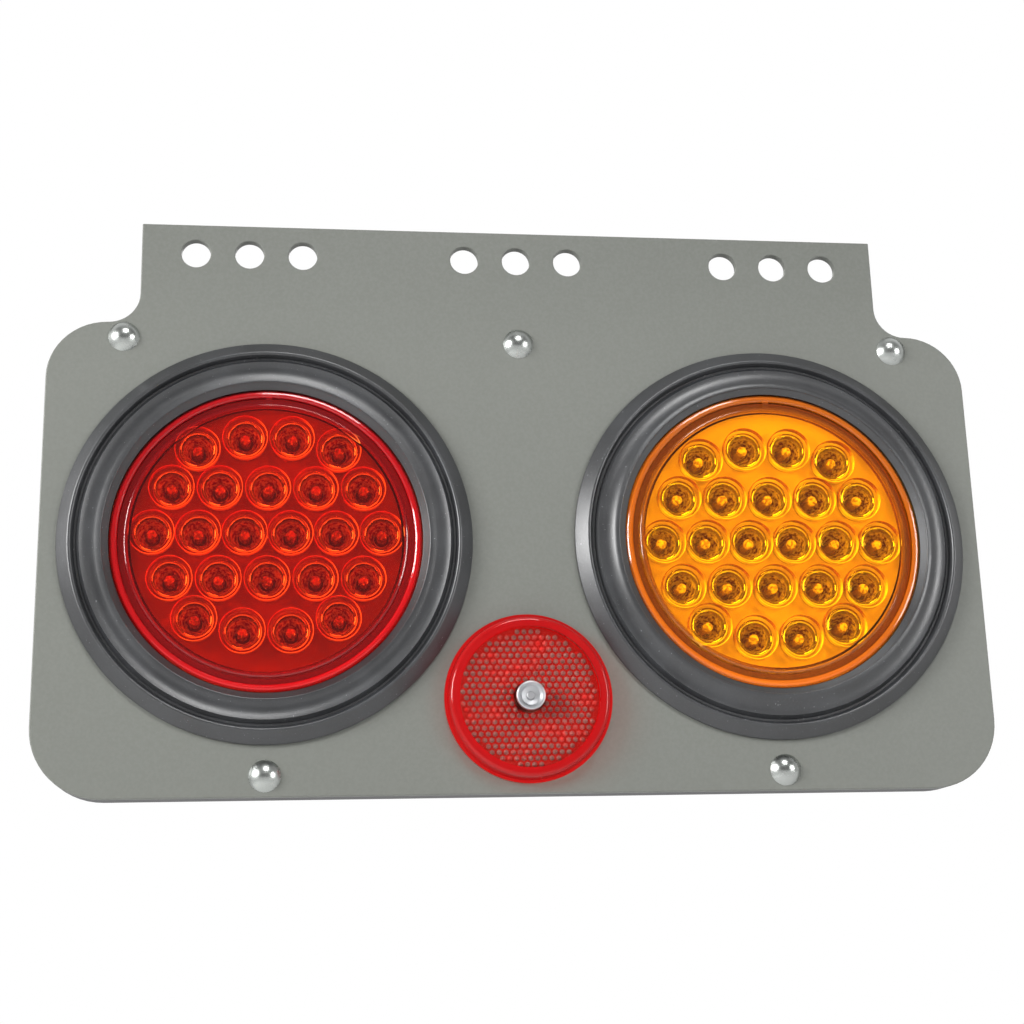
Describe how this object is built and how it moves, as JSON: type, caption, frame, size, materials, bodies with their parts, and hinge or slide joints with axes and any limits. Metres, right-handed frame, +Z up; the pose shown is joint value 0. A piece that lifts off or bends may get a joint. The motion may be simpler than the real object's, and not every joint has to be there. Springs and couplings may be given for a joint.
{
  "type": "led trailer light module",
  "caption": "Bolt-on trailer light plate with round red and amber LED lamps in rubber grommets, a round red reflector and a riveted rear cover.",
  "frame": {"origin": "centre of the middle bolt hole of the top row, on the plate's rear face", "axes": "+X along the row of bolt holes towards the amber lamp, +Y out of the plate's rear face towards the vehicle, +Z up"},
  "size_m": [0.306, 0.0747, 0.1884],
  "materials": {
    "plate_paint": "satin",
    "cover_plastic": "satin",
    "rivet_metal": "polished",
    "washer_metal": "satin",
    "grommet_rubber": "satin",
    "red_lens_plastic": "gloss",
    "amber_lens_plastic": "gloss",
    "cup_metal": "polished",
    "led_resin": "gloss",
    "board_laminate": "satin",
    "chip_ceramic": "matt",
    "potting_resin": "matt",
    "housing_plastic": "satin",
    "pin_brass": "satin",
    "reflector_plastic": "gloss",
    "backing_plastic": "satin",
    "blind_rivet_metal": "satin",
    "stem_steel": "satin"
  },
  "bodies": {
    "root": {"mounting_plate": "plate_paint", "rear_cover": "cover_plastic", "cover_rivets": "rivet_metal", "rivet_washers": "washer_metal", "cable_grommet": "grommet_rubber", "reflector_lens": "reflector_plastic", "reflector_backing": "backing_plastic", "reflector_rivet": "blind_rivet_metal", "reflector_rivet_stem": "stem_steel", "red_grommet": "grommet_rubber", "red_lens": "red_lens_plastic", "red_cup_tray": "cup_metal", "red_leds": "led_resin", "red_circuit_board": "board_laminate", "red_resistors": "chip_ceramic", "red_potting": "potting_resin", "red_housing": "housing_plastic", "red_terminals": "pin_brass", "amber_grommet": "grommet_rubber", "amber_lens": "amber_lens_plastic", "amber_cup_tray": "cup_metal", "amber_leds": "led_resin", "amber_circuit_board": "board_laminate", "amber_resistors": "chip_ceramic", "amber_potting": "potting_resin", "amber_housing": "housing_plastic", "amber_terminals": "pin_brass"}
  },
  "joints": []
}
